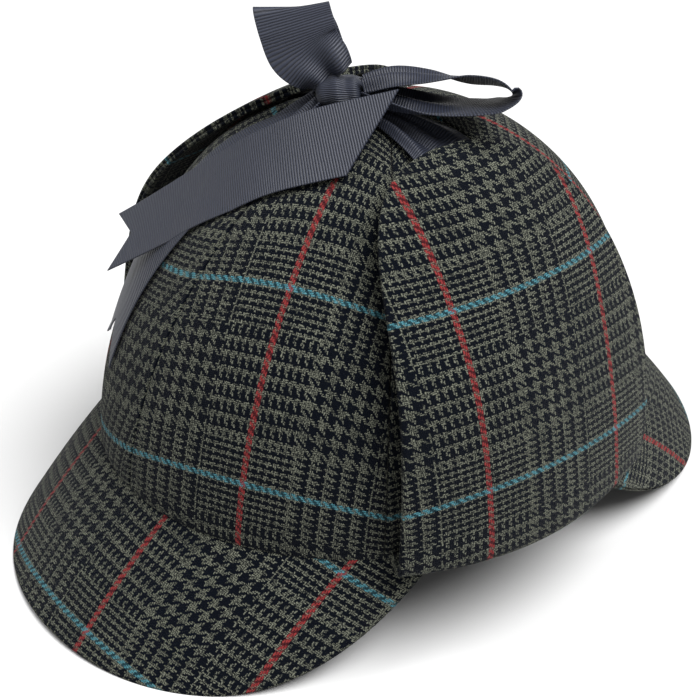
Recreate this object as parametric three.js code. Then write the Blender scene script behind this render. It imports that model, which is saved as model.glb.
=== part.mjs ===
// Deerstalker hat: six crown gores, two peaks, two tied-up ear flaps and a ribbon bow.
// Millimetres, +Z up. The origin is on the floor under the middle of the hat.
// The front peak points to -Y and the wearer's left side is +X.
// An angle round the head starts at the front (-Y) and grows toward the wearer's left (+X).
import * as THREE from "three";

// Driving sizes for a head of 58 cm
const HALF_WIDTH = 84.5;
const HALF_LENGTH = 105;
const RIM_HEIGHT = 39;
const RIM_WAVE = 3.5;
const CROWN_RISE = 120;
const CROWN_POWER = 1.81;
const GAP = 0.3;

// Cloth thicknesses
const CROWN_WALL = 2.2;
const PEAK_WALL = 3;
const FLAP_WALL = 3;
const RIBBON_WALL = 1;

// Crown gores
const GORE_COUNT = 6;
const GORE_COLUMNS = 8;
const GORE_ROWS = 13;
const TOP_HOLE_RADIUS = 1.5;

// Peaks: depth along the slope, slope at the middle and at the ends, and how far round they reach
const PEAK_DEPTH = 55;
const PEAK_SLOPE_MIDDLE = 47.7;
const PEAK_SLOPE_END = 56.9;
const PEAK_END_ANGLE = 70.4;
const PEAK_END_POWER = 4.4;
const PEAK_FORWARD_SHARE = 0.66;
const PEAK_COLUMNS = 27;
const PEAK_ROWS = 6;
const PEAK_REACH = 0.985;
const PEAK_CROSS_BOW = 1.2;

// Ear flaps: outline, and how far the cloth stands off the crown
const FLAP_HALF_WIDTH = 50;
const FLAP_HEIGHT = 133;
const FLAP_SHOULDER_POWER = 3.1;
const FLAP_LEAN = 4;
const FLAP_BASE_SHIFT = -1;
const FLAP_STANDOFF = 10.8;
const FLAP_TIP_DROP = 5;
const FLAP_CLOSING_START = 50;
const FLAP_EASE_POWER = 1.5;
const FLAP_TIP_REACH = 0.9985;
const FLAP_COLUMNS = 14;
const FLAP_ROWS = 15;
// Section of the fold at the hem: distance off the crown wall and height above the rim
const FLAP_HEM = [
  { off: 0.45, height: 1.9 },
  { off: 4.2, height: 1.7 },
  { off: 8.3, height: 1.8 },
  { off: 10.5, height: 4.2 },
];
// How far the loose front edge of each flap springs out
const FLAP_SIDES = [
  { name: "ear_flap_left", side: 1, frontFlare: 0 },
  { name: "ear_flap_right", side: -1, frontFlare: 6 },
];

// Bow: the knot's middle above the rim plane and its half sizes
const KNOT = new THREE.Vector3(-7, -14.6, 124);
const KNOT_HALF = new THREE.Vector3(8, 6.5, 5);
const KNOT_TURN = 50;
const KNOT_MERIDIANS = 18;
const KNOT_RINGS = 10;
const RIBBON_COLUMNS = 4;
const RIBBON_LIFT = 1.2;
const NEAR_END_POWER = 4;
const FAR_END_POWER = 6;

// Ribbon runs. A row is a place on the middle of the ribbon, above the rim plane, the direction of its
// width there (azimuth round the head and elevation, degrees) and the width.
// A lift keeps a run off the crown, a slant cuts the near end, and a notch cuts a swallowtail.
const RIBBONS = [
  {
    name: "ribbon_lead_left",
    samples: 12,
    rows: [
      { x: 36, y: 1, z: 108.6, azimuth: 0, elevation: 0, width: 24 },
      { x: 26.8, y: 0, z: 114.2, azimuth: 0, elevation: 0, width: 23 },
      { x: 15, y: -5, z: 118.6, azimuth: 10, elevation: 0, width: 15 },
      { x: 6, y: -9.5, z: 120.2, azimuth: 15, elevation: 0, width: 9 },
      { x: -0.6, y: -12, z: 121, azimuth: 20, elevation: 0, width: 8 },
    ],
  },
  {
    name: "ribbon_lead_right",
    samples: 12,
    rows: [
      { x: -36, y: 1, z: 108.4, azimuth: 180, elevation: 0, width: 23 },
      { x: -27, y: -1, z: 113.9, azimuth: 185, elevation: 0, width: 21 },
      { x: -20, y: -7, z: 118.2, azimuth: 205, elevation: 0, width: 13 },
      { x: -14, y: -13.2, z: 121.2, azimuth: 225, elevation: 0, width: 8 },
    ],
  },
  {
    name: "bow_loop_upright",
    samples: 30,
    rows: [
      { x: -10.4, y: -18.4, z: 128.6, azimuth: 140, elevation: 4, width: 14 },
      { x: -13, y: -20.6, z: 132.5, azimuth: 140, elevation: 4, width: 20 },
      { x: -16.5, y: -22.8, z: 138.5, azimuth: 140, elevation: 4, width: 25 },
      { x: -19.8, y: -24.2, z: 145, azimuth: 140, elevation: 4, width: 25 },
      { x: -23.4, y: -23.8, z: 149, azimuth: 140, elevation: 4, width: 25 },
      { x: -25.6, y: -20.6, z: 145.6, azimuth: 140, elevation: 4, width: 25 },
      { x: -22.4, y: -16, z: 137.6, azimuth: 140, elevation: 4, width: 22 },
      { x: -14, y: -12.5, z: 129.2, azimuth: 140, elevation: 4, width: 12 },
    ],
  },
  {
    name: "bow_loop_side",
    samples: 36,
    rows: [
      { x: -2.1, y: -9.4, z: 127.8, azimuth: 50, elevation: 10, width: 10 },
      { x: 4, y: -1.6, z: 131.2, azimuth: 50, elevation: 12, width: 17 },
      { x: 11.2, y: 7.2, z: 131.8, azimuth: 50, elevation: 18, width: 22 },
      { x: 19.6, y: 16.4, z: 131, azimuth: 50, elevation: 25, width: 25 },
      { x: 26, y: 23, z: 129.8, azimuth: 50, elevation: 27, width: 25 },
      { x: 30.2, y: 25.2, z: 127.8, azimuth: 50, elevation: 26, width: 25 },
      { x: 30, y: 21, z: 126.2, azimuth: 50, elevation: 22, width: 25 },
      { x: 25, y: 12, z: 124.8, azimuth: 50, elevation: 14, width: 25 },
      { x: 17.2, y: 2.2, z: 124.6, azimuth: 50, elevation: 9, width: 22 },
      { x: 8.2, y: -5, z: 124.9, azimuth: 50, elevation: 6, width: 15 },
      { x: -0.5, y: -8.6, z: 124.6, azimuth: 50, elevation: 5, width: 9 },
    ],
  },
  {
    name: "bow_tail_long",
    samples: 26,
    rows: [
      { x: 21.6, y: -10, z: 123, azimuth: 61, elevation: -42, width: 25 },
      { x: 7.7, y: -34, z: 117.2, azimuth: 61, elevation: -38, width: 25 },
      { x: -4.4, y: -46.6, z: 109.4, azimuth: 61, elevation: -28, width: 25 },
      { x: -15, y: -55.9, z: 99.6, azimuth: 61, elevation: -22, width: 25 },
      { x: -27.4, y: -63.8, z: 87.8, azimuth: 61, elevation: -17, width: 25 },
      { x: -39.5, y: -72, z: 76.2, azimuth: 61, elevation: -12, width: 25 },
      { x: -49.6, y: -78.4, z: 67, azimuth: 61, elevation: -9, width: 25 },
    ],
    lift: 2.6,
    slant: 15,
    notch: 12,
  },
  {
    name: "bow_tail_short",
    samples: 24,
    rows: [
      { x: -11.2, y: -20.2, z: 120.6, azimuth: 60, elevation: 0, width: 10 },
      { x: -14.5, y: -30, z: 113, azimuth: 60, elevation: 0, width: 18 },
      { x: -20, y: -46, z: 101, azimuth: 60, elevation: -3, width: 25 },
      { x: -27, y: -63, z: 82, azimuth: 60, elevation: -6, width: 25 },
      { x: -33, y: -77, z: 60, azimuth: 60, elevation: -8, width: 25 },
      { x: -37, y: -88.5, z: 33, azimuth: 60, elevation: -10, width: 25 },
    ],
    lift: 1.2,
    notch: 10,
  },
];

// Finishes
const TWEED = { color: 0x3a3d38, roughness: 0.95, metalness: 0 };
const RIBBON = { color: 0x2b2e38, roughness: 0.6, metalness: 0 };

const HALF_TURN = Math.PI;
const RIGHT_ANGLE = Math.PI / 2;
const degrees = THREE.MathUtils.degToRad;
const limit = THREE.MathUtils.clamp;

// A point of the crown: angle round the head, and climb from 0 at the rim to 1 at the top.
// Each level is an ellipse, and the section up the crown is a superellipse.
function crownPoint(angle, climb) {
  const power = 2 / CROWN_POWER;
  const inward = Math.cos(climb * RIGHT_ANGLE) ** power;
  const upward = Math.sin(climb * RIGHT_ANGLE) ** power;
  return new THREE.Vector3(
    HALF_WIDTH * Math.sin(angle) * inward,
    -HALF_LENGTH * Math.cos(angle) * inward,
    RIM_HEIGHT + RIM_WAVE * Math.cos(2 * angle) * (1 - upward) + CROWN_RISE * upward,
  );
}

// The outward normal of the crown, from neighbouring points.
function crownNormal(angle, climb) {
  const step = 1e-3;
  const place = limit(climb, 2 * step, 1 - 2 * step);
  const across = crownPoint(angle + step, place).sub(crownPoint(angle - step, place));
  const along = crownPoint(angle, place + step).sub(crownPoint(angle, place - step));
  return across.cross(along).normalize();
}

// Climb for a distance measured over the crown from the rim, up the side of the head.
const ARC_STEPS = 400;
const sideArc = [0];
for (let step = 1; step <= ARC_STEPS; step += 1) {
  const here = crownPoint(RIGHT_ANGLE, step / ARC_STEPS);
  const before = crownPoint(RIGHT_ANGLE, (step - 1) / ARC_STEPS);
  sideArc.push(sideArc[step - 1] + here.distanceTo(before));
}
function climbAt(distance) {
  const next = sideArc.findIndex((arc) => arc > distance);
  const share = (distance - sideArc[next - 1]) / (sideArc[next] - sideArc[next - 1]);
  return (next - 1 + share) / ARC_STEPS;
}

// A closed solid from two grids of points, one on each face of a cloth.
function sheetGeometry(front, back) {
  const columns = front.length - 1;
  const rows = front[0].length - 1;
  const stride = rows + 1;
  const count = (columns + 1) * stride;
  const points = [...front.flat(), ...back.flat()];
  const index = [];
  const quad = (a, b, c, d) => index.push(a, b, c, a, c, d);
  const faceOf = (column, row) => column * stride + row;
  for (let column = 0; column < columns; column += 1) {
    for (let row = 0; row < rows; row += 1) {
      const a = faceOf(column, row);
      const b = faceOf(column + 1, row);
      const c = faceOf(column + 1, row + 1);
      const d = faceOf(column, row + 1);
      quad(a, b, c, d);
      quad(count + a, count + d, count + c, count + b);
    }
  }
  for (let column = 0; column < columns; column += 1) {
    const low = [faceOf(column, 0), faceOf(column + 1, 0)];
    const high = [faceOf(column, rows), faceOf(column + 1, rows)];
    quad(low[1], low[0], count + low[0], count + low[1]);
    quad(high[0], high[1], count + high[1], count + high[0]);
  }
  for (let row = 0; row < rows; row += 1) {
    const first = [faceOf(0, row), faceOf(0, row + 1)];
    const last = [faceOf(columns, row), faceOf(columns, row + 1)];
    quad(first[0], first[1], count + first[1], count + first[0]);
    quad(last[1], last[0], count + last[0], count + last[1]);
  }
  const geometry = new THREE.BufferGeometry();
  geometry.setFromPoints(points);
  geometry.setIndex(index);
  geometry.computeVertexNormals();
  return geometry;
}

// Both faces of a cloth whose middle surface is a grid of points.
function thicken(middle, thickness) {
  const last = [middle.length - 1, middle[0].length - 1];
  const near = (value, end) => limit(value, 0, end);
  const normalAt = (column, row) => {
    const pick = (dc, dr) => middle[near(column + dc, last[0])][near(row + dr, last[1])];
    const across = pick(1, 0).clone().sub(pick(-1, 0));
    const along = pick(0, 1).clone().sub(pick(0, -1));
    return across.cross(along).normalize();
  };
  const faceAt = (share) =>
    middle.map((line, column) =>
      line.map((point, row) => point.clone().addScaledVector(normalAt(column, row), share * thickness)),
    );
  return sheetGeometry(faceAt(0.5), faceAt(-0.5));
}

function grid(columns, rows, pointAt) {
  return Array.from({ length: columns + 1 }, (_, column) =>
    Array.from({ length: rows + 1 }, (_, row) => pointAt(column / columns, row / rows)),
  );
}

function meshOf(name, geometry, finish) {
  const mesh = new THREE.Mesh(geometry, new THREE.MeshStandardMaterial(finish));
  mesh.name = name;
  return mesh;
}

// One gore: a sixth of the crown, narrowed by half a gap at each seam.
function goreGeometry(number) {
  const halfAngle = HALF_TURN / GORE_COUNT;
  const middleAngle = halfAngle * (2 * number + 1);
  const topClimb = 1 - (TOP_HOLE_RADIUS / HALF_WIDTH) ** (CROWN_POWER / 2) / RIGHT_ANGLE;
  const angleAt = (share, climb) => {
    const point = crownPoint(middleAngle, climb);
    const radius = Math.hypot(point.x, point.y);
    return middleAngle + (2 * share - 1) * (halfAngle - GAP / 2 / radius);
  };
  const faceAt = (depth) =>
    grid(GORE_COLUMNS, GORE_ROWS, (across, up) => {
      const climb = up * topClimb;
      const angle = angleAt(across, climb);
      const normal = crownNormal(angle, climb);
      if (up === 0) normal.setZ(0).normalize();
      return crownPoint(angle, climb).addScaledVector(normal, -depth);
    });
  return sheetGeometry(faceAt(0), faceAt(CROWN_WALL));
}

// One peak: it leaves the rim downward and its edge is cut level where the hat rests on it.
function peakGeometry(frontBack) {
  const endAngle = degrees(PEAK_END_ANGLE);
  const frontDirection = new THREE.Vector3(0, -1, 0);
  const upDirection = new THREE.Vector3(0, 0, 1);
  const faceAt = (depth) =>
    grid(PEAK_COLUMNS, PEAK_ROWS, (across, out) => {
      const angle = endAngle * PEAK_REACH * Math.sin((2 * across - 1) * RIGHT_ANGLE);
      const share = Math.abs(angle) / endAngle;
      const outward = new THREE.Vector3(Math.sin(angle) / HALF_WIDTH, -Math.cos(angle) / HALF_LENGTH, 0);
      outward.normalize().lerp(frontDirection, PEAK_FORWARD_SHARE).normalize();
      const slope = degrees(PEAK_SLOPE_MIDDLE + (PEAK_SLOPE_END - PEAK_SLOPE_MIDDLE) * share ** 2);
      const downhill = outward.clone().multiplyScalar(Math.cos(slope));
      downhill.addScaledVector(upDirection, -Math.sin(slope));
      const normal = outward.clone().multiplyScalar(Math.sin(slope));
      normal.addScaledVector(upDirection, Math.cos(slope));
      const reach = PEAK_DEPTH * (1 - share ** PEAK_END_POWER);
      const point = crownPoint(angle, 0).addScaledVector(upDirection, -GAP);
      point.addScaledVector(downhill, reach * out);
      const bow = PEAK_CROSS_BOW * Math.sin(HALF_TURN * out) * (reach / PEAK_DEPTH);
      point.addScaledVector(normal, bow - depth);
      const lowestEdge = crownPoint(angle, 0).z - GAP - reach * Math.sin(slope) - PEAK_WALL * Math.cos(slope);
      if (out === 1 && lowestEdge < 0) {
        point.addScaledVector(downhill, point.z / Math.sin(slope)).setZ(0);
      }
      point.y *= frontBack;
      return point;
    });
  const [top, underside] = [faceAt(0), faceAt(PEAK_WALL)];
  return frontBack > 0 ? sheetGeometry(underside, top) : sheetGeometry(top, underside);
}

// One ear flap: the hem fold beside the rim, then the cloth that stands up against the crown.
function flapGeometry(side, frontFlare) {
  const risingRows = FLAP_ROWS - FLAP_HEM.length;
  const sectionAt = (row) => {
    if (row < FLAP_HEM.length) return FLAP_HEM[row];
    const share = (row - FLAP_HEM.length + 1) / (risingRows + 1);
    const start = FLAP_HEM[FLAP_HEM.length - 1].height;
    const height = start + (FLAP_HEIGHT * FLAP_TIP_REACH - start) * (1 - (1 - share) ** 2);
    const closing = limit((height - FLAP_CLOSING_START) / (FLAP_HEIGHT - FLAP_CLOSING_START), 0, 1);
    return { off: FLAP_STANDOFF - FLAP_TIP_DROP * closing ** FLAP_EASE_POWER, height };
  };
  const pointAt = (across, up) => {
    const { off, height } = sectionAt(Math.round(up * FLAP_ROWS));
    const lateral = 2 * across - 1;
    const arch = Math.sin((HALF_TURN * height) / FLAP_HEIGHT);
    const halfWidth = FLAP_HALF_WIDTH * Math.sqrt(1 - (height / FLAP_HEIGHT) ** FLAP_SHOULDER_POWER);
    const along = FLAP_BASE_SHIFT + FLAP_LEAN * arch ** FLAP_EASE_POWER + lateral * halfWidth;
    const climb = climbAt(height);
    const levelLength = HALF_LENGTH * Math.cos(climb * RIGHT_ANGLE) ** (2 / CROWN_POWER);
    const angle = RIGHT_ANGLE + Math.asin(along / levelLength);
    const flare = frontFlare * limit(-lateral, 0, 1) ** 2 * arch;
    const point = crownPoint(angle, climb).addScaledVector(crownNormal(angle, climb), off + flare);
    point.x *= side;
    return point;
  };
  const middle = grid(FLAP_COLUMNS, FLAP_ROWS, pointAt);
  if (side < 0) middle.reverse();
  return thicken(middle, FLAP_WALL);
}

// Moves a point that lies in or close to the crown out to the given lift, so that the ribbon drapes.
function drape(point, lift) {
  const angle = Math.atan2(point.x / HALF_WIDTH, -point.y / HALF_LENGTH);
  const wave = RIM_WAVE * Math.cos(2 * angle);
  const rise = Math.max(point.z - RIM_HEIGHT - wave, 0) / (CROWN_RISE - wave);
  const level = Math.hypot(point.x / HALF_WIDTH, point.y / HALF_LENGTH);
  const size = (level ** CROWN_POWER + rise ** CROWN_POWER) ** (1 / CROWN_POWER);
  const fromMiddle = point.clone().setZ(point.z - RIM_HEIGHT);
  const distance = fromMiddle.length();
  const wanted = distance / size + lift;
  if (distance < wanted) point.addScaledVector(fromMiddle, wanted / distance - 1);
  return point;
}

// A ribbon run: a smooth curve through the rows, with the width laid square to the curve.
function ribbonGeometry({ rows, samples, lift = RIBBON_LIFT, slant = 0, notch = 0 }) {
  const places = rows.map(({ x, y, z }) => new THREE.Vector3(x, y, z + RIM_HEIGHT));
  const curve = new THREE.CatmullRomCurve3(places);
  const length = curve.getLength();
  const blend = (key, share) => {
    const place = share * (rows.length - 1);
    const row = Math.min(Math.floor(place), rows.length - 2);
    return THREE.MathUtils.lerp(rows[row][key], rows[row + 1][key], place - row);
  };
  const pointAt = (across, along) => {
    const lateral = 2 * across - 1;
    const slanted = (slant / length) * across * (1 - along) ** NEAR_END_POWER;
    const notched = (notch / length) * (1 - Math.abs(lateral)) * along ** FAR_END_POWER;
    const share = along + slanted - notched;
    const azimuth = degrees(blend("azimuth", share));
    const elevation = degrees(blend("elevation", share));
    const widthAxis = new THREE.Vector3(
      Math.sin(azimuth) * Math.cos(elevation),
      -Math.cos(azimuth) * Math.cos(elevation),
      Math.sin(elevation),
    );
    widthAxis.projectOnPlane(curve.getTangent(share)).normalize();
    const place = curve.getPoint(share).addScaledVector(widthAxis, (lateral * blend("width", share)) / 2);
    return drape(place, lift);
  };
  return thicken(grid(RIBBON_COLUMNS, samples, pointAt), RIBBON_WALL);
}

function knotMesh() {
  const geometry = new THREE.SphereGeometry(1, KNOT_MERIDIANS, KNOT_RINGS);
  geometry.rotateX(RIGHT_ANGLE);
  geometry.scale(KNOT_HALF.x, KNOT_HALF.y, KNOT_HALF.z);
  const mesh = meshOf("bow_knot", geometry, RIBBON);
  mesh.rotation.z = degrees(KNOT_TURN);
  mesh.position.copy(KNOT).setZ(KNOT.z + RIM_HEIGHT);
  return mesh;
}

const hat = new THREE.Group();
for (let number = 0; number < GORE_COUNT; number += 1) {
  hat.add(meshOf(`crown_gore_${number + 1}`, goreGeometry(number), TWEED));
}
hat.add(meshOf("front_peak", peakGeometry(1), TWEED));
hat.add(meshOf("rear_peak", peakGeometry(-1), TWEED));
for (const { name, side, frontFlare } of FLAP_SIDES) {
  hat.add(meshOf(name, flapGeometry(side, frontFlare), TWEED));
}
hat.add(knotMesh());
for (const ribbon of RIBBONS) {
  hat.add(meshOf(ribbon.name, ribbonGeometry(ribbon), RIBBON));
}

export default hat;
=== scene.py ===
"""Deerstalker hat: glen check tweed and a grosgrain bow, made over the hat's plain solids.

Lengths in this script are millimetres, and the meshes are metres. The front of the hat is -Y, the
wearer's left side is +X, and an angle round the head starts at the front and grows toward the left.
"""

import bpy
import numpy as np
from mathutils import Matrix, Vector


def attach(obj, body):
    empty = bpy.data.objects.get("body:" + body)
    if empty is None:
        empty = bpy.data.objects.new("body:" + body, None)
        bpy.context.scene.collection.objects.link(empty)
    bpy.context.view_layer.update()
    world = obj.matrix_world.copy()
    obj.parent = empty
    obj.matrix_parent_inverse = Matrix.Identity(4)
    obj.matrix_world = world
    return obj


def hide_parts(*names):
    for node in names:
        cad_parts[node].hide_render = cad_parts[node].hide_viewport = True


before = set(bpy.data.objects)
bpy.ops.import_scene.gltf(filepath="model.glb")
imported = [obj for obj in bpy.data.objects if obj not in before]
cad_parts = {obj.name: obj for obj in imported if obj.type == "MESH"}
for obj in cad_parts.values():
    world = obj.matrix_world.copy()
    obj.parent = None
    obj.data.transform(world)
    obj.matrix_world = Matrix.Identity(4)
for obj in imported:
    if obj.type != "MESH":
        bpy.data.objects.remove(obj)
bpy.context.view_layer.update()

MM = 0.001
CLOTH_MAP = "cloth"

# Head form
HALF_WIDTH = 84.5
HALF_LENGTH = 105.0
RIM_HEIGHT = 39.0
RIM_WAVE = 3.5
CROWN_RISE = 120.0
CROWN_POWER = 1.81

# Cloth thicknesses and the round of a cloth's edge
CROWN_WALL = 2.2
PEAK_WALL = 3.0
FLAP_WALL = 3.0
RIBBON_WALL = 0.6
SEAM_ROUND = 0.8
EDGE_STEPS = np.array([0, 0.06, 0.25, 0.6])
CROWN_DENT = 0.45
FLAP_DENT = 0.6

# Crown gores
GORE_COUNT = 6
SEAM_GAP = 0.06
TOP_RADIUS = 0.6
BULGE = 8.0
BULGE_ANGLE = -58.0
BULGE_ANGLE_SPREAD = 28.0
BULGE_CLIMB = 0.55
BULGE_CLIMB_SPREAD = 0.25

# Peaks
PEAK_DEPTH = 55.0
PEAK_SLOPE_MIDDLE = 47.7
PEAK_SLOPE_END = 56.9
PEAK_END_ANGLE = 70.4
PEAK_END_POWER = 4.4
PEAK_FORWARD_SHARE = 0.66
PEAK_REACH = 0.985
PEAK_CROSS_BOW = 1.2
PEAK_GAP = 0.15
PEAK_TUCK = 0.045
PEAK_FLOOR_GAP = 0.02

# Ear flaps
FLAP_HALF_WIDTH = 50.0
FLAP_HEIGHT = 133.0
FLAP_SHOULDER_POWER = 3.1
FLAP_LEAN = 4.0
FLAP_BASE_SHIFT = -1.0
FLAP_STANDOFF = 10.8
FLAP_TIP_DROP = 5.0
FLAP_CLOSING_START = 50.0
FLAP_EASE_POWER = 1.5
FLAP_TIP_REACH = 0.9985
FLAP_ROW_POWER = 1.6
FLAP_FRONT_FLARE = {1: 0.0, -1: 6.0}
# Section of the fold at the hem: distance off the crown and height above the rim
FLAP_HEM = np.array([[0.45, 1.9], [4.2, 1.7], [8.3, 1.8], [10.5, 4.2], [10.8, 9.0], [10.8, 14.0]])

# Tweed: yarns in one repeat of the check, and where its overcheck lines cross each piece
WARP_YARNS = 88
WEFT_YARNS = 104
WARP_PITCH = 0.655
WEFT_PITCH = 0.634
GORE_WEFT_LINE = 24.0
GORE_WEFT_DROOP = 8.0
PEAK_WARP_LINE = 18.7
PEAK_WEFT_LINE = 84.5
FLAP_WARP_LINE = -23.3
FLAP_WEFT_LINE = 28.5
FLAP_WEFT_STRETCH = 1.165
FLAP_WEFT_DROOP = 4.5
FLAP_WARP_DRAW = 6.0
FLAP_DRAW_WIDTH = 57.0
FLAP_DRAW_HEIGHT = 35.0
FLAP_DRAW_SPREAD = 40.0
FLAP_DROOP_WIDTH = 45.0
PEAK_WARP_STRETCH = 1.03
PEAK_WARP_CURVE = 2.16e-5
# The last gore's check lies askew, so its blue line falls to one side and its red line leans
LAST_GORE_DROOP = 2.5
LAST_GORE_DROOP_TURN = 1.5
LAST_GORE_WARP_SHIFT = 4.7
LAST_GORE_WARP_LEAN = 0.18

# Tweed yarns: half of the fine check, stripes, how far yarns wander, grain sizes in millimetres, colours
FINE_HALF = 24
RED_YARNS = 3
BLUE_YARNS = 3
YARN_WANDER = 1.2
DARK_YARN = (0.0022, 0.0034, 0.0064, 1)
LIGHT_YARN = (0.160, 0.167, 0.128, 1)
RED_YARN = (0.230, 0.030, 0.030, 1)
BLUE_YARN = (0.080, 0.250, 0.300, 1)
FIBRE_SIZE = 0.45
WARP_WANDER_SIZE = 2.2
WEFT_WANDER_SIZE = 1.7
MELANGE_SIZE = 7.0
SPECK_MIDDLE = 0.38
SPECK_GAIN = 3.8
SHADE_POWER = 2.2
WEAVE_RELIEF = 0.22

# Grosgrain ribbon
RIBBON_WIDTH = 25.0
RIB_PITCH = 0.88
FOLD_GAP = 1.4
PLEAT_DEPTH = 0.64
RIB_WANDER = 0.3
RIB_WANDER_SIZE = 3.0
FLECK_SIZE = 0.5
RIB_RELIEF = 0.22
# The ribbon's navy with painted shade for the rib grooves, and with painted light for the rib crests
RIBBON_SHADED_GROOVE = (0.0040, 0.0045, 0.0075, 1)
RIBBON_LIT_CREST = (0.0290, 0.0345, 0.0560, 1)

# Knot, and the line on it where the long tail's folded start leaves
KNOT = np.array([-7.0, -14.6, 124.0])
KNOT_HALF = np.array([8.4, 6.9, 5.4])
KNOT_TURN = 50.0
KNOT_END_POWER = 2.6
KNOT_ROUND_POWER = 2.2
KNOT_RIDGE = 0.08
KNOT_RIDGE_WAVES = 8
KNOT_RIDGE_SWAY = 1.4
KNOT_RIDGE_START = 0.6
FOLD_START_OUT = 5.0
FOLD_START_FORWARD = 2.0
FOLD_START_HEIGHT = 7.0
FOLD_ROWS = 30
FOLD_ROUND_POWER = 8
FOLD_LIFT = 0.8

# Rows of a ribbon run: a place on its middle line above the rim plane, the direction of its width there
# (azimuth round the head and elevation, degrees) and the gathered width
LEAD_LEFT = np.array([
    [36.0, 1.0, 108.6, 0, 0, 24.0],
    [26.8, 0.0, 114.2, 0, 0, 23.0],
    [15.0, -5.0, 118.6, 10, 0, 15.0],
    [6.0, -9.5, 120.2, 15, 0, 9.0],
    [-0.6, -12.0, 121.0, 20, 0, 8.0],
])
LEAD_RIGHT = np.array([
    [-36.0, 1.0, 108.4, 180, 0, 23.0],
    [-27.0, -1.0, 113.9, 185, 0, 21.0],
    [-20.0, -7.0, 118.2, 205, 0, 13.0],
    [-14.0, -13.2, 121.2, 225, 0, 8.0],
])
LOOP_UPRIGHT = np.array([
    [-8.6, -16.3, 128.6, 140, 4, 15.5],
    [-11.6, -18.9, 132.5, 140, 4, 20.5],
    [-17.8, -21.8, 137.3, 140, 4, 24.8],
    [-22.6, -21.9, 143.4, 140, 4, 25.0],
    [-27.8, -20.2, 147.4, 140, 4, 25.0],
    [-29.8, -16.8, 139.6, 140, 4, 25.0],
    [-24.4, -14.0, 133.8, 140, 4, 22.0],
    [-14.0, -12.5, 129.2, 140, 4, 12.0],
])
LOOP_SIDE = np.array([
    [-2.1, -9.4, 127.8, 50, 10, 10.0],
    [4.0, -1.6, 131.2, 50, 12, 17.0],
    [11.2, 7.2, 131.8, 50, 18, 22.0],
    [19.6, 16.4, 131.2, 50, 31, 25.0],
    [26.5, 23.4, 130.8, 50, 29, 25.0],
    [31.2, 26.4, 127.8, 50, 20, 25.0],
    [29.6, 20.6, 125.2, 50, 16, 25.0],
    [25.0, 12.0, 124.8, 50, 14, 25.0],
    [17.2, 2.2, 124.6, 50, 9, 22.0],
    [8.2, -5.0, 124.9, 50, 6, 15.0],
    [-0.5, -8.6, 124.6, 50, 5, 9.0],
])
TAIL_LONG = np.array([
    [21.6, -10.0, 123.0, 61, -42, 25.0],
    [7.7, -34.0, 117.2, 61, -38, 25.0],
    [-4.4, -46.6, 109.4, 61, -28, 25.0],
    [-15.0, -55.9, 99.6, 61, -22, 25.0],
    [-27.4, -63.8, 87.8, 61, -17, 25.0],
    [-39.5, -72.0, 76.2, 61, -12, 25.0],
    [-49.6, -78.4, 67.0, 61, -9, 25.0],
])
TAIL_SHORT = np.array([
    [-11.2, -20.2, 120.6, 60, 0, 10.0],
    [-14.5, -30.0, 113.0, 60, 0, 18.0],
    [-20.0, -46.0, 101.0, 60, -3, 25.0],
    [-27.0, -63.0, 82.0, 60, -6, 25.0],
    [-33.0, -77.0, 60.0, 60, -8, 25.0],
    [-37.0, -88.5, 33.0, 60, -10, 25.0],
])

# Camera
CAMERA_PLACE = Vector((390.88, -324.58, 414.86)) * MM
CAMERA_AIM = Vector((7.07, -17.77, 69.24)) * MM
CAMERA_LENS = 87.6
CAMERA_ROLL = 2.31

# Floor and light, in metres, watts and degrees
FLOOR_REACH = 30.0
FLOOR_COLOUR = (0.58, 0.58, 0.58, 1)
FLOOR_ROUGHNESS = 0.9
TOP_LIGHT = 5.4
TOP_LIGHT_SPREAD = 45.0
TOP_LIGHT_PLACE = (0.45, 0.3, 1.25)
FRONT_LAMP = 6.0
FRONT_LAMP_SIZE = 0.7
FRONT_LAMP_PLACE = (-0.5, -0.7, 1.1)
LAMP_AIM = Vector((0, 0, 0.09))
SURROUND_LIGHT = 0.3


def unit(vectors):
    """Vectors of length one."""
    return vectors / np.linalg.norm(vectors, axis=-1, keepdims=True)


def crown_point(angle, climb):
    """The crown: each level is an ellipse, and the section from the rim to the top is a superellipse."""
    power = 2 / CROWN_POWER
    inward = np.cos(climb * np.pi / 2) ** power
    upward = np.sin(climb * np.pi / 2) ** power
    wave = RIM_WAVE * np.cos(2 * angle) * (1 - upward)
    return np.stack([
        HALF_WIDTH * np.sin(angle) * inward,
        -HALF_LENGTH * np.cos(angle) * inward,
        RIM_HEIGHT + wave + CROWN_RISE * upward,
    ], axis=-1)


def crown_normal(angle, climb):
    """The outward normal of the crown: the cross product of its steps round the head and up it."""
    step = 1e-3
    place = np.clip(climb, 2 * step, 1 - 2 * step)
    around = crown_point(angle + step, place) - crown_point(angle - step, place)
    up = crown_point(angle, place + step) - crown_point(angle, place - step)
    return unit(np.cross(around, up))


def crown_bulge(angle, climb):
    """How far the soft crown swells at the front of the right flap: a bell in the angle and in the climb."""
    from_centre = (angle - np.radians(BULGE_ANGLE) + np.pi) % (2 * np.pi) - np.pi
    angle_share = from_centre / np.radians(BULGE_ANGLE_SPREAD)
    climb_share = (climb - BULGE_CLIMB) / BULGE_CLIMB_SPREAD
    return BULGE * np.exp(-angle_share ** 2 - climb_share ** 2)


def soft_dents(points, depth):
    """Broad shallow dents of soft cloth: the sum of two products of sine waves of the place. Each divisor is
    the length in millimetres over which a wave turns by one radian."""
    x, y, z = np.moveaxis(points, -1, 0)
    wave = np.sin(x / 15 + 1.3) * np.sin(y / 21 + z / 33) + np.sin(z / 12 + 2.0) * np.sin((x - y) / 27)
    return depth * wave[..., None]


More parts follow.
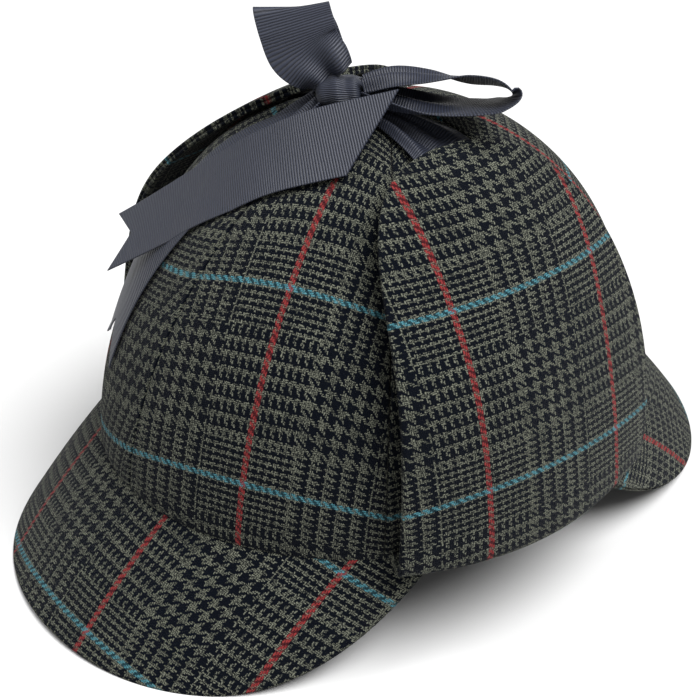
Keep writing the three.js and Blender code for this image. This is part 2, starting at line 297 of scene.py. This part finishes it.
def line_length(points, axis):
    """Distance along the lines of a grid, from the line's start to each point."""
    steps = np.linalg.norm(np.diff(points, axis=axis), axis=2)
    start = np.zeros_like(steps.take([0], axis))
    return np.concatenate([start, np.cumsum(steps, axis)], axis)


def edge_distance(points):
    """Distance over a cloth to its nearest edge, measured along the two ways of its grid."""
    nearest = np.full(points.shape[:2], np.inf)
    for axis in (0, 1):
        run = line_length(points, axis)
        nearest = np.minimum(nearest, np.minimum(run, run.take([-1], axis) - run))
    return nearest


def grid_normal(points):
    """Unit normals of a grid: the cross product of its central differences."""
    return unit(np.cross(np.gradient(points, axis=0), np.gradient(points, axis=1)))


def spaced(count, edge):
    """Numbers from 0 to 1: a few close to each end, inside the share called edge, and even ones between."""
    near = edge * EDGE_STEPS
    even = np.linspace(edge, 1 - edge, count)
    return np.concatenate([near, even, 1 - near[::-1]])


def through_rows(rows, place):
    """A smooth line through rows of numbers: a cubic between two rows, whose slope at a row is half the
    step between its neighbours. place counts the rows from 0."""
    ends = np.vstack([2 * rows[0] - rows[1], rows, 2 * rows[-1] - rows[-2]])
    first = np.clip(np.floor(place).astype(int), 0, len(rows) - 2)
    step = (place - first)[..., None]
    before, here, after, beyond = (ends[first + shift] for shift in range(4))
    bend = 2 * before - 5 * here + 4 * after - beyond
    twist = 3 * here - before - 3 * after + beyond
    return here + 0.5 * step * (after - before + step * (bend + step * twist))


def closed_cloth(middle, thickness, edge_round):
    """Both faces of a cloth round its middle surface, which meet at its edge: the half thickness grows
    over edge_round as a quarter of an ellipse."""
    share = np.clip(edge_distance(middle) / edge_round, 0, 1)
    half = thickness / 2 * np.sqrt(1 - (1 - share) ** 2)
    offset = grid_normal(middle) * half[..., None]
    return middle + offset, middle - offset


def grid_mesh(faces, maps):
    """Points, map values and quads of one or more closed cloths. The two faces share their edge points."""
    points, values, quads, start = [], [], [], 0
    for (front, back), cloth_map in zip(faces, maps):
        rows, columns = front.shape[:2]
        count = rows * columns
        front_index = np.arange(count).reshape(rows, columns)
        back_index = front_index + count
        for line in (np.s_[0, :], np.s_[-1, :], np.s_[:, 0], np.s_[:, -1]):
            back_index[line] = front_index[line]
        for index, turn in ((front_index, 1), (back_index, -1)):
            corners = np.stack([index[:-1, :-1], index[1:, :-1], index[1:, 1:], index[:-1, 1:]], axis=-1)
            quads.append(start + corners.reshape(-1, 4)[:, ::turn])
        points += [front.reshape(-1, 3), back.reshape(-1, 3)]
        values += [cloth_map.reshape(-1, 2)] * 2
        start += 2 * count
    return np.concatenate(points), np.concatenate(values), np.concatenate(quads)


def make_piece(name, faces, maps, material, slot, node):
    """A piece from closed cloths: its mesh in metres, its cloth map, its finish and its solid."""
    points, values, quads = grid_mesh(faces, maps)
    used, quads = np.unique(quads, return_inverse=True)
    quads = quads.reshape(-1, 4)
    mesh = bpy.data.meshes.new(name)
    mesh.from_pydata(points[used] * MM, [], quads.tolist())
    layer = mesh.uv_layers.new(name=CLOTH_MAP)
    layer.data.foreach_set("uv", (values[used] * MM)[quads.ravel()].ravel())
    mesh.polygons.foreach_set("use_smooth", np.ones(len(quads), bool))
    mesh.materials.append(material)
    piece = bpy.data.objects.new(name, mesh)
    bpy.context.scene.collection.objects.link(piece)
    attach(piece, "root")
    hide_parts(node)
    return piece


class Signal:
    """A socket of a material. Arithmetic on it adds Math nodes, and node() adds any other node."""

    def __init__(self, tree, socket=None):
        self.tree = tree
        self.socket = socket

    def node(self, kind, settings=None, inputs=None, output=0):
        """A new node of one kind: its settings first, then the values or links of its sockets."""
        made = self.tree.nodes.new(kind)
        for name, value in (settings or {}).items():
            setattr(made, name, value)
        for name, value in (inputs or {}).items():
            if isinstance(value, Signal):
                self.tree.links.new(value.socket, made.inputs[name])
            else:
                made.inputs[name].default_value = value
        return Signal(self.tree, made.outputs[output] if made.outputs else None)

    def math(self, operation, first, second=0.0):
        return self.node("ShaderNodeMath", {"operation": operation}, {0: first, 1: second})

    def __add__(self, other):
        return self.math("ADD", self, other)

    def __sub__(self, other):
        return self.math("SUBTRACT", self, other)

    def __rsub__(self, other):
        return self.math("SUBTRACT", other, self)

    def __mul__(self, other):
        return self.math("MULTIPLY", self, other)

    def __mod__(self, other):
        return self.math("FLOORED_MODULO", self, other)

    def __lt__(self, other):
        return self.math("LESS_THAN", self, other)

    def __abs__(self):
        return self.math("ABSOLUTE", self)

    def floor(self):
        return self.math("FLOOR", self)

    def colour(self, low, high):
        """The colour between low and high at this share. Sockets 6 and 7 hold the Mix node's colours."""
        return self.node("ShaderNodeMix", {"data_type": "RGBA"}, {0: self, 6: low, 7: high}, output=2)

    __radd__ = __add__
    __rmul__ = __mul__


def new_finish(name):
    """A material with a bare node tree, and its first signals: the cloth map's two ways and the place."""
    material = bpy.data.materials.new(name)
    material.use_nodes = True
    material.node_tree.nodes.clear()
    finish = Signal(material.node_tree)
    cloth = finish.node("ShaderNodeUVMap", {"uv_map": CLOTH_MAP})
    across = finish.node("ShaderNodeSeparateXYZ", None, {0: cloth}, output=0)
    along = finish.node("ShaderNodeSeparateXYZ", None, {0: cloth}, output=1)
    place = finish.node("ShaderNodeTexCoord", output=3)
    return material, finish, across, along, place


def end_finish(finish, colour, roughness, height, depth, constants):
    """Joins colour, roughness and a relief of some depth to the shader, with its fixed values."""
    normal = finish.node("ShaderNodeBump", None, {"Height": height, "Distance": depth, "Strength": 1.0})
    inputs = {"Base Color": colour, "Roughness": roughness, "Normal": normal, **constants}
    shader = finish.node("ShaderNodeBsdfPrincipled", None, inputs)
    finish.node("ShaderNodeOutputMaterial", None, {"Surface": shader})


def grain(finish, place, size, detail=2.0):
    """Noise from 0 to 1 with grains of a size in millimetres."""
    inputs = {"Vector": place, "Scale": 1 / (size * MM), "Detail": detail, "Roughness": 0.6}
    return finish.node("ShaderNodeTexNoise", None, inputs)


def check_yarns(yarn, count, stripe):
    """Light or dark of each yarn in a glen check, and its overcheck stripe. The middle of a repeat is two by
    two with the stripe in its centre, and the rest is four by four."""
    middle = count // 2
    place = (yarn + middle) % count
    from_stripe = abs(place - (middle - 0.5 + 0.5 * (stripe % 2)))
    fine = from_stripe < FINE_HALF
    period = 8 - 4 * fine
    light = 1 - ((place % period) < period * 0.5 - 0.25)
    return light, from_stripe < stripe / 2


def tweed_finish():
    """Two by two twill of wool: warp or weft is on top, its yarn's colour shows, and the yarns are round.
    Each yarn's colour darkens toward its sides: painted shade between the yarns, in the stripes too.
    """
    material, finish, across, along, place = new_finish("glen_check_tweed")
    fibre = grain(finish, place, FIBRE_SIZE, detail=3.0)
    loose = (fibre - 0.5) * YARN_WANDER
    warp_wander = (grain(finish, place, WARP_WANDER_SIZE) - 0.5) * YARN_WANDER
    weft_wander = (grain(finish, place, WEFT_WANDER_SIZE) - 0.5) * YARN_WANDER
    warp_place = across * (1 / (WARP_PITCH * MM)) + warp_wander + loose
    weft_place = along * (1 / (WEFT_PITCH * MM)) + weft_wander - loose
    warp = warp_place.floor()
    weft = weft_place.floor()
    warp_on_top = ((warp + weft) % 4) < 2
    weft_on_top = 1 - warp_on_top
    warp_light, red = check_yarns(warp, WARP_YARNS, RED_YARNS)
    weft_light, blue = check_yarns(weft, WEFT_YARNS, BLUE_YARNS)
    warp_side = abs((warp_place - warp) - 0.5)
    weft_side = abs((weft_place - weft) - 0.5)
    warp_round = 1 - 4 * (warp_side * warp_side)
    weft_round = 1 - 4 * (weft_side * weft_side)
    crest = warp_on_top * warp_round + weft_on_top * weft_round
    light = warp_on_top * warp_light + weft_on_top * weft_light
    melange = 0.7 + 0.6 * grain(finish, place, MELANGE_SIZE)
    speck = (fibre - SPECK_MIDDLE) * SPECK_GAIN
    # crest darkens each yarn toward its sides: painted shade between the yarns; light, melange and speck are
    # the cloth's own tone
    tone_and_painted_shade = light * melange * (0.15 + 0.85 * crest) * (0.25 + 1.1 * speck) + 0.05 * speck
    yarn_colour = tone_and_painted_shade.math("POWER", tone_and_painted_shade, SHADE_POWER).colour(DARK_YARN, LIGHT_YARN)
    # The crest factors paint shade on the sides of the red and blue stripe yarns too
    red_share = (0.3 + 0.7 * warp_on_top) * red * (0.35 + 0.65 * crest) * (0.6 + 0.7 * speck)
    blue_share = (0.2 + 0.8 * weft_on_top) * blue * (0.4 + 0.6 * crest) * (0.4 + 0.7 * speck)
    with_red = red_share.colour(yarn_colour, RED_YARN)
    colour = blue_share.colour(with_red, BLUE_YARN)
    height = crest * 0.7 + fibre * 0.6
    wool = {"Specular IOR Level": 0.03, "Sheen Weight": 0.06, "Sheen Roughness": 0.4}
    end_finish(finish, colour, 0.92, height, WEAVE_RELIEF * MM, wool)
    return material


def ribbon_finish():
    """Grosgrain: round ribs across the ribbon, flecked with fibres, painted darker in the grooves and
    lighter on the crests as painted shade and light, and a soft gloss on the crests.
    """
    material, finish, _, along, place = new_finish("navy_grosgrain")
    wander = (grain(finish, place, RIB_WANDER_SIZE) - 0.5) * RIB_WANDER
    rib_place = along * (1 / (RIB_PITCH * MM)) + wander
    from_crest = abs((rib_place - rib_place.floor()) - 0.5)
    crest = 1 - 4 * (from_crest * from_crest)
    fleck = grain(finish, place, FLECK_SIZE)
    # crest paints light on the ribs and shade in their grooves; the flecks are the fibres' own colour
    colour = (crest * 0.75 + (fleck - 0.5) * 0.4).colour(RIBBON_SHADED_GROOVE, RIBBON_LIT_CREST)
    roughness = 0.58 - crest * 0.1
    gloss = {"Specular IOR Level": 0.36, "Sheen Weight": 0.02, "Sheen Roughness": 0.4}
    end_finish(finish, colour, roughness, crest + fleck * 0.15, RIB_RELIEF * MM, gloss)
    return material


def gore_cloth(number):
    """One gore: a sixth of the crown, with its seams rolled in, and its check laid along its middle line."""
    half_angle = np.pi / GORE_COUNT
    middle_angle = half_angle * (2 * number + 1)
    top_climb = 1 - (TOP_RADIUS / HALF_WIDTH) ** (CROWN_POWER / 2) * 2 / np.pi
    share, climb = np.meshgrid(2 * spaced(56, 0.012) - 1, top_climb * spaced(90, 0.006), indexing="ij")
    level = crown_point(middle_angle, climb)
    radius = np.hypot(level[..., 0], level[..., 1])
    turn = share * (half_angle - SEAM_GAP / 2 / radius)
    angle = middle_angle + turn
    normal = crown_normal(angle, climb)
    outside = crown_point(angle, climb) + normal * crown_bulge(angle, climb)[..., None]
    outside = outside + normal * soft_dents(outside, CROWN_DENT) * np.sin(np.pi * climb)[..., None]
    middle = outside - normal * CROWN_WALL / 2
    lateral = line_length(outside, 0)
    lateral = lateral - lateral[[len(lateral) // 2]]
    rise = line_length(crown_point(np.full_like(climb, middle_angle), climb), 1)
    droop = share ** 2
    if number == GORE_COUNT - 1:
        droop = LAST_GORE_DROOP - LAST_GORE_DROOP_TURN * share
        lateral = lateral + LAST_GORE_WARP_SHIFT - LAST_GORE_WARP_LEAN * rise
    check = rise - GORE_WEFT_LINE + GORE_WEFT_DROOP * droop
    return closed_cloth(middle, CROWN_WALL, SEAM_ROUND), np.stack([lateral, check], axis=-1)


def peak_cloths(front_back):
    """One peak as a top cloth and an under cloth, sewn at their edge. Straight lines leave the rim downhill,
    shorter toward the ends, and the edge is level where the hat rests on it."""
    end_angle = np.radians(PEAK_END_ANGLE)
    sweep, out = np.meshgrid(2 * spaced(120, 0.006) - 1, spaced(40, 0.03), indexing="ij")
    out = out * (1 + PEAK_TUCK) - PEAK_TUCK
    angle = end_angle * PEAK_REACH * np.sin(sweep * np.pi / 2)
    share = np.abs(angle) / end_angle
    around = unit(np.stack([np.sin(angle) / HALF_WIDTH, -np.cos(angle) / HALF_LENGTH, 0 * angle], axis=-1))
    outward = unit(around * (1 - PEAK_FORWARD_SHARE) + np.array([0, -PEAK_FORWARD_SHARE, 0]))
    slope = np.radians(PEAK_SLOPE_MIDDLE + (PEAK_SLOPE_END - PEAK_SLOPE_MIDDLE) * share ** 2)[..., None]
    up = np.array([0, 0, 1.0])
    downhill = outward * np.cos(slope) - up * np.sin(slope)
    normal = outward * np.sin(slope) + up * np.cos(slope)
    reach = PEAK_DEPTH * (1 - share ** PEAK_END_POWER)
    top = crown_point(angle, 0 * angle) - up * PEAK_GAP + downhill * (reach * out)[..., None]
    top = top + normal * (PEAK_CROSS_BOW * np.sin(np.pi * out) * reach / PEAK_DEPTH)[..., None]
    tilt = np.radians(PEAK_SLOPE_MIDDLE)
    warp = top[..., 0] * (PEAK_WARP_STRETCH + PEAK_WARP_CURVE * top[..., 0] ** 2) - PEAK_WARP_LINE
    weft = -top[..., 1] * np.cos(tilt) - top[..., 2] * np.sin(tilt) - PEAK_WEFT_LINE
    cloths = []
    for depth in (PEAK_WALL / 4, PEAK_WALL * 3 / 4):
        middle = top - normal * depth
        front, back = closed_cloth(middle, PEAK_WALL / 2, PEAK_WALL / 4)
        faces = [face * np.array([1, front_back, 1]) for face in (front, back)]
        for face in faces:
            face[..., 2] = np.maximum(face[..., 2], PEAK_FLOOR_GAP)
        cloths.append(faces if front_back < 0 else faces[::-1])
    return cloths, [np.stack([warp, weft], axis=-1)] * 2


# Climbs up the middle of the crown's side, and the arc length from the rim to each
SIDE_CLIMB = np.linspace(0, 1, 401)
SIDE_ARC = line_length(crown_point(np.full((1, 401), np.pi / 2), SIDE_CLIMB[None]), 1)[0]


def flap_cloths(side):
    """One ear flap as an outer and an inner cloth: the fold at the hem, then the cloth up the crown, with
    a half width that closes to a round tip."""
    hem = through_rows(FLAP_HEM, np.linspace(0, len(FLAP_HEM) - 1, 26))
    climbing = spaced(80, 0.01)[5:]
    start = FLAP_HEM[-1, 1]
    heights = start + (FLAP_HEIGHT * FLAP_TIP_REACH - start) * (1 - (1 - climbing) ** FLAP_ROW_POWER)
    closing = np.clip((heights - FLAP_CLOSING_START) / (FLAP_HEIGHT - FLAP_CLOSING_START), 0, 1)
    offs = FLAP_STANDOFF - FLAP_TIP_DROP * closing ** FLAP_EASE_POWER
    height_line = np.concatenate([hem[:, 1], heights])
    off_line = np.concatenate([hem[:, 0], offs])
    lateral, height = np.meshgrid(2 * spaced(70, 0.012) - 1, height_line, indexing="ij")
    off = np.broadcast_to(off_line, lateral.shape)
    arch = np.sin(np.pi * height / FLAP_HEIGHT)
    half_width = FLAP_HALF_WIDTH * np.sqrt(1 - (height / FLAP_HEIGHT) ** FLAP_SHOULDER_POWER)
    along = FLAP_BASE_SHIFT + FLAP_LEAN * arch ** FLAP_EASE_POWER + lateral * half_width
    climb = np.interp(height, SIDE_ARC, SIDE_CLIMB)
    level_length = HALF_LENGTH * np.cos(climb * np.pi / 2) ** (2 / CROWN_POWER)
    angle = np.pi / 2 + np.arcsin(along / level_length)
    flare = FLAP_FRONT_FLARE[side] * np.clip(-lateral, 0, 1) ** 2 * arch
    normal = crown_normal(angle, climb)
    middle = crown_point(angle, climb) + normal * (off + flare)[..., None]
    middle = middle + normal * soft_dents(middle, FLAP_DENT)
    near_hem = np.exp(-((height - FLAP_DRAW_HEIGHT) / FLAP_DRAW_SPREAD) ** 2)
    drawn = np.clip(along - FLAP_WARP_LINE, 0, None) / FLAP_DRAW_WIDTH * near_hem
    warp = along - FLAP_WARP_LINE + FLAP_WARP_DRAW * drawn
    droop = FLAP_WEFT_DROOP * (along / FLAP_DROOP_WIDTH) ** 2
    weft = (height + droop - FLAP_WEFT_LINE) * FLAP_WEFT_STRETCH
    thick = grid_normal(middle)
    cloths = []
    for depth in (FLAP_WALL / 4, -FLAP_WALL / 4):
        front, back = closed_cloth(middle + thick * depth, FLAP_WALL / 2, FLAP_WALL / 4)
        faces = [face * np.array([side, 1, 1]) for face in (front, back)]
        cloths.append(faces if side > 0 else faces[::-1])
    return cloths, [np.stack([warp, weft], axis=-1)] * 2


def drape(points, lift):
    """Moves points that lie in the crown, or closer to it than the lift, straight out from its middle."""
    angle = np.arctan2(points[..., 0] / HALF_WIDTH, -points[..., 1] / HALF_LENGTH)
    wave = RIM_WAVE * np.cos(2 * angle)
    rise = np.maximum(points[..., 2] - RIM_HEIGHT - wave, 0) / (CROWN_RISE - wave)
    level = np.hypot(points[..., 0] / HALF_WIDTH, points[..., 1] / HALF_LENGTH)
    size = (level ** CROWN_POWER + rise ** CROWN_POWER) ** (1 / CROWN_POWER)
    from_middle = points - np.array([0, 0, RIM_HEIGHT])
    distance = np.linalg.norm(from_middle, axis=-1)
    climb = np.arcsin(np.clip(rise, 0, 1) ** (CROWN_POWER / 2)) * 2 / np.pi
    short = np.maximum(distance / size + lift + crown_bulge(angle, climb) - distance, 0)
    return points + from_middle * (short / distance)[..., None]


def direction(azimuth, elevation):
    """Unit vectors from an azimuth round the head and an elevation, in degrees."""
    azimuth, elevation = np.radians(azimuth), np.radians(elevation)
    level = np.cos(elevation)
    return np.stack([np.sin(azimuth) * level, -np.cos(azimuth) * level, np.sin(elevation)], axis=-1)


def ribbon_run(rows, samples, lift, slant=0.0, notch=0.0, pleats=1.0, tuck=0.0):
    """A ribbon along the smooth line of its rows. Where it is gathered, cosine pleats run across it. Their
    depth is the width lost times the width left, over the full width and the number of pleats. slant cuts
    the near end, notch cuts a swallowtail into the far end, and tuck carries the start on by some rows."""
    along, across = np.meshgrid(spaced(samples, 0.01), spaced(36, 0.02), indexing="ij")
    lateral = 2 * across - 1
    marks = np.linspace(-tuck, len(rows) - 1, 300)
    lengths = line_length(through_rows(rows, marks)[None, :, :3], 1)[0]
    length = lengths[-1]
    slanted = slant / length * across * (1 - along) ** 4
    notched = notch / length * (1 - np.abs(lateral)) * along ** 6
    place = (along + slanted - notched) * (len(rows) - 1 + tuck) - tuck
    row = through_rows(rows, place)
    nudge = 1e-3
    tangent = unit(through_rows(rows, place + nudge)[..., :3] - through_rows(rows, place - nudge)[..., :3])
    width_axis = direction(row[..., 3], row[..., 4])
    width_axis = unit(width_axis - tangent * np.sum(width_axis * tangent, axis=-1, keepdims=True))
    width = np.minimum(row[..., 5], RIBBON_WIDTH)
    wave = PLEAT_DEPTH / pleats * (RIBBON_WIDTH - width) * width / RIBBON_WIDTH
    fold = wave * np.cos(np.pi * pleats * lateral)
    middle = row[..., :3] + np.array([0, 0, RIM_HEIGHT])
    middle = middle + width_axis * (lateral * width / 2)[..., None]
    middle = middle + np.cross(tangent, width_axis) * fold[..., None]
    middle = drape(middle, lift)
    cloth_map = np.stack([lateral * RIBBON_WIDTH / 2, np.interp(place, marks, lengths)], axis=-1)
    return middle, cloth_map


def with_fold(middle, cloth_map):
    """The long tail with its start: from the knot the ribbon spreads to the slanted fold behind the tail.
    Straight lines join a short line at the knot to the fold, set back by a gap that closes at the fold."""
    spin = np.radians(KNOT_TURN)
    right = np.array([np.cos(spin), np.sin(spin), 0])
    toward = np.array([np.sin(spin), -np.cos(spin), 0])
    up = np.array([0, 0, 1.0])
    start = np.linspace(0, 1, FOLD_ROWS, endpoint=False)[:, None, None]
    across = np.linspace(0, 1, middle.shape[1])[:, None]
    knot_line = KNOT + up * RIM_HEIGHT + right * FOLD_START_OUT + toward * (FOLD_START_FORWARD * across)
    knot_line = knot_line + up * (FOLD_START_HEIGHT / 2) - up * FOLD_START_HEIGHT * across
    fold = knot_line + (middle[0] - knot_line) * start
    back = grid_normal(middle)[0] * FOLD_GAP * np.sqrt(1 - start ** FOLD_ROUND_POWER)
    layer = fold - back * np.sign(grid_normal(middle)[0] @ toward)[..., None]
    layer = drape(layer, FOLD_LIFT)
    run = line_length(layer, 0)
    lateral = np.broadcast_to(cloth_map[0, :, 0], run.shape)
    layer_map = np.stack([lateral, run - run[-1:] + cloth_map[0, :, 1]], axis=-1)
    return np.concatenate([layer, middle]), np.concatenate([layer_map, cloth_map])


def ribbon_piece(name, middle, cloth_map, material, node, flat, held, rests_on):
    """A ribbon's piece: a closed cloth of the ribbon's thickness round its middle surface."""
    faces = closed_cloth(middle, RIBBON_WALL, RIBBON_WALL / 2)
    piece = make_piece(name, [faces], [cloth_map], material, "ribbon", node)
    return piece


def knot_cloth():
    """The knot: a band wound round the tie. It is a barrel, round at its ends like a superellipse, and its
    radius has cosine ridges along it that sway round the turn."""
    turn, along = np.meshgrid(np.linspace(0, 2 * np.pi, 97), np.linspace(-1, 1, 61), indexing="ij")
    barrel = np.maximum(1 - np.abs(along) ** KNOT_END_POWER, 0) ** (1 / KNOT_ROUND_POWER)
    sway = KNOT_RIDGE_SWAY * np.sin(turn)
    ridges = 1 + KNOT_RIDGE * np.cos(KNOT_RIDGE_WAVES * along + sway + KNOT_RIDGE_START) * barrel
    local = np.stack([
        KNOT_HALF[0] * along,
        KNOT_HALF[1] * barrel * ridges * np.cos(turn),
        KNOT_HALF[2] * barrel * ridges * np.sin(turn),
    ], axis=-1)
    spin = np.radians(KNOT_TURN)
    turned = np.stack([
        local[..., 0] * np.cos(spin) - local[..., 1] * np.sin(spin),
        local[..., 0] * np.sin(spin) + local[..., 1] * np.cos(spin),
        local[..., 2],
    ], axis=-1)
    points = turned + KNOT + np.array([0, 0, RIM_HEIGHT])
    cloth_map = np.stack([KNOT_HALF[0] * along, KNOT_HALF[1] * turn], axis=-1)
    return points, cloth_map


def knot_piece(material):
    """The knot's piece, closed round its turn and at its two ends."""
    points, cloth_map = knot_cloth()
    turns, steps = points.shape[0] - 1, points.shape[1]
    index = np.arange(turns * steps).reshape(turns, steps)
    index[:, 0] = index[0, 0]
    index[:, -1] = index[0, -1]
    after = np.roll(index, -1, axis=0)
    quads = np.stack([index[:, :-1], index[:, 1:], after[:, 1:], after[:, :-1]], axis=-1).reshape(-1, 4)
    mesh = bpy.data.meshes.new("knot")
    faces = [list(dict.fromkeys(quad)) for quad in quads.tolist()]
    mesh.from_pydata(points[:-1].reshape(-1, 3) * MM, [], faces)
    layer = mesh.uv_layers.new(name=CLOTH_MAP)
    corners = np.zeros(len(mesh.loops), int)
    mesh.loops.foreach_get("vertex_index", corners)
    layer.data.foreach_set("uv", (cloth_map[:-1].reshape(-1, 2) * MM)[corners].ravel())
    mesh.polygons.foreach_set("use_smooth", np.ones(len(faces), bool))
    mesh.materials.append(material)
    piece = bpy.data.objects.new("knot", mesh)
    bpy.context.scene.collection.objects.link(piece)
    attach(piece, "root")
    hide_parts("bow_knot")
    return piece


def make_hat():
    """All pieces of the hat."""
    tweed = tweed_finish()
    ribbon = ribbon_finish()
    for number in range(GORE_COUNT):
        faces, cloth_map = gore_cloth(number)
        make_piece(f"gore_{number + 1}", [faces], [cloth_map], tweed, "tweed", f"crown_gore_{number + 1}")
    for name, front_back in (("front", 1), ("rear", -1)):
        make_piece(f"peak_{name}", *peak_cloths(front_back), tweed, "tweed", f"{name}_peak")
    for name, side in (("left", 1), ("right", -1)):
        make_piece(f"flap_{name}", *flap_cloths(side), tweed, "tweed", f"ear_flap_{name}")
    knot_piece(ribbon)
    lead_left = ribbon_run(LEAD_LEFT, samples=60, lift=1.3, pleats=3, tuck=0.7)
    lead_right = ribbon_run(LEAD_RIGHT, samples=60, lift=1.3, pleats=3, tuck=0.7)
    loop_upright = ribbon_run(LOOP_UPRIGHT, samples=110, lift=1.2, pleats=2)
    loop_side = ribbon_run(LOOP_SIDE, samples=140, lift=1.2, pleats=2)
    tail_long = with_fold(*ribbon_run(TAIL_LONG, samples=150, lift=1.6, slant=15, notch=12))
    tail_short = ribbon_run(TAIL_SHORT, samples=120, lift=1.4, notch=10, pleats=2)
    ribbon_piece("lead_left", *lead_left, ribbon, "ribbon_lead_left",
                 (0.025, 0.050), "gathered", ["flap_left"])
    ribbon_piece("lead_right", *lead_right, ribbon, "ribbon_lead_right",
                 (0.025, 0.037), "gathered", ["flap_right"])
    ribbon_piece("loop_upright", *loop_upright, ribbon, "bow_loop_upright",
                 (0.025, 0.054), "gathered", ["knot"])
    ribbon_piece("loop_side", *loop_side, ribbon, "bow_loop_side",
                 (0.025, 0.096), "gathered", ["knot"])
    ribbon_piece("tail_long", *tail_long, ribbon, "bow_tail_long",
                 (0.025, 0.140), "draped", ["knot"])
    ribbon_piece("tail_short", *tail_short, ribbon, "bow_tail_short",
                 (0.025, 0.120), "draped", ["knot"])


def make_camera():
    """The camera at the photograph's place: it looks at the aim point and rolls a little."""
    back = (CAMERA_PLACE - CAMERA_AIM).normalized()
    level = Vector((0, 0, 1)).cross(back).normalized()
    upright = back.cross(level)
    roll = np.radians(CAMERA_ROLL)
    right = level * np.cos(roll) + upright * np.sin(roll)
    up = upright * np.cos(roll) - level * np.sin(roll)
    data = bpy.data.cameras.new("camera")
    data.lens = CAMERA_LENS
    camera = bpy.data.objects.new("camera", data)
    turn = Matrix((right, up, back)).transposed()
    camera.matrix_world = Matrix.Translation(CAMERA_PLACE) @ turn.to_4x4()
    bpy.context.scene.collection.objects.link(camera)
    bpy.context.scene.camera = camera


def make_stage():
    """A pale floor, a pale surround and soft lamps."""
    mesh = bpy.data.meshes.new("floor")
    corners = [(x * FLOOR_REACH, y * FLOOR_REACH, 0) for x, y in ((-1, -1), (1, -1), (1, 1), (-1, 1))]
    mesh.from_pydata(corners, [], [(0, 1, 2, 3)])
    floor = bpy.data.objects.new("floor", mesh)
    bpy.context.scene.collection.objects.link(floor)
    paint = bpy.data.materials.new("floor_paint")
    paint.use_nodes = True
    shader = paint.node_tree.nodes["Principled BSDF"]
    shader.inputs["Base Color"].default_value = FLOOR_COLOUR
    shader.inputs["Roughness"].default_value = FLOOR_ROUGHNESS
    mesh.materials.append(paint)
    world = bpy.data.worlds.new("studio")
    world.use_nodes = True
    surround = world.node_tree.nodes["Background"]
    surround.inputs["Color"].default_value = (1, 1, 1, 1)
    surround.inputs["Strength"].default_value = SURROUND_LIGHT
    bpy.context.scene.world = world
    top = bpy.data.lights.new("top_light", "SUN")
    top.energy = TOP_LIGHT
    top.angle = np.radians(TOP_LIGHT_SPREAD)
    front = bpy.data.lights.new("front_lamp", "AREA")
    front.energy = FRONT_LAMP
    front.size = FRONT_LAMP_SIZE
    for light, place in ((top, TOP_LIGHT_PLACE), (front, FRONT_LAMP_PLACE)):
        lamp = bpy.data.objects.new(light.name, light)
        lamp.location = place
        lamp.rotation_mode = "QUATERNION"
        lamp.rotation_quaternion = (LAMP_AIM - Vector(place)).to_track_quat("-Z", "Y")
        bpy.context.scene.collection.objects.link(lamp)
    bpy.context.scene.view_settings.view_transform = "Standard"


make_camera()
make_stage()
make_hat()
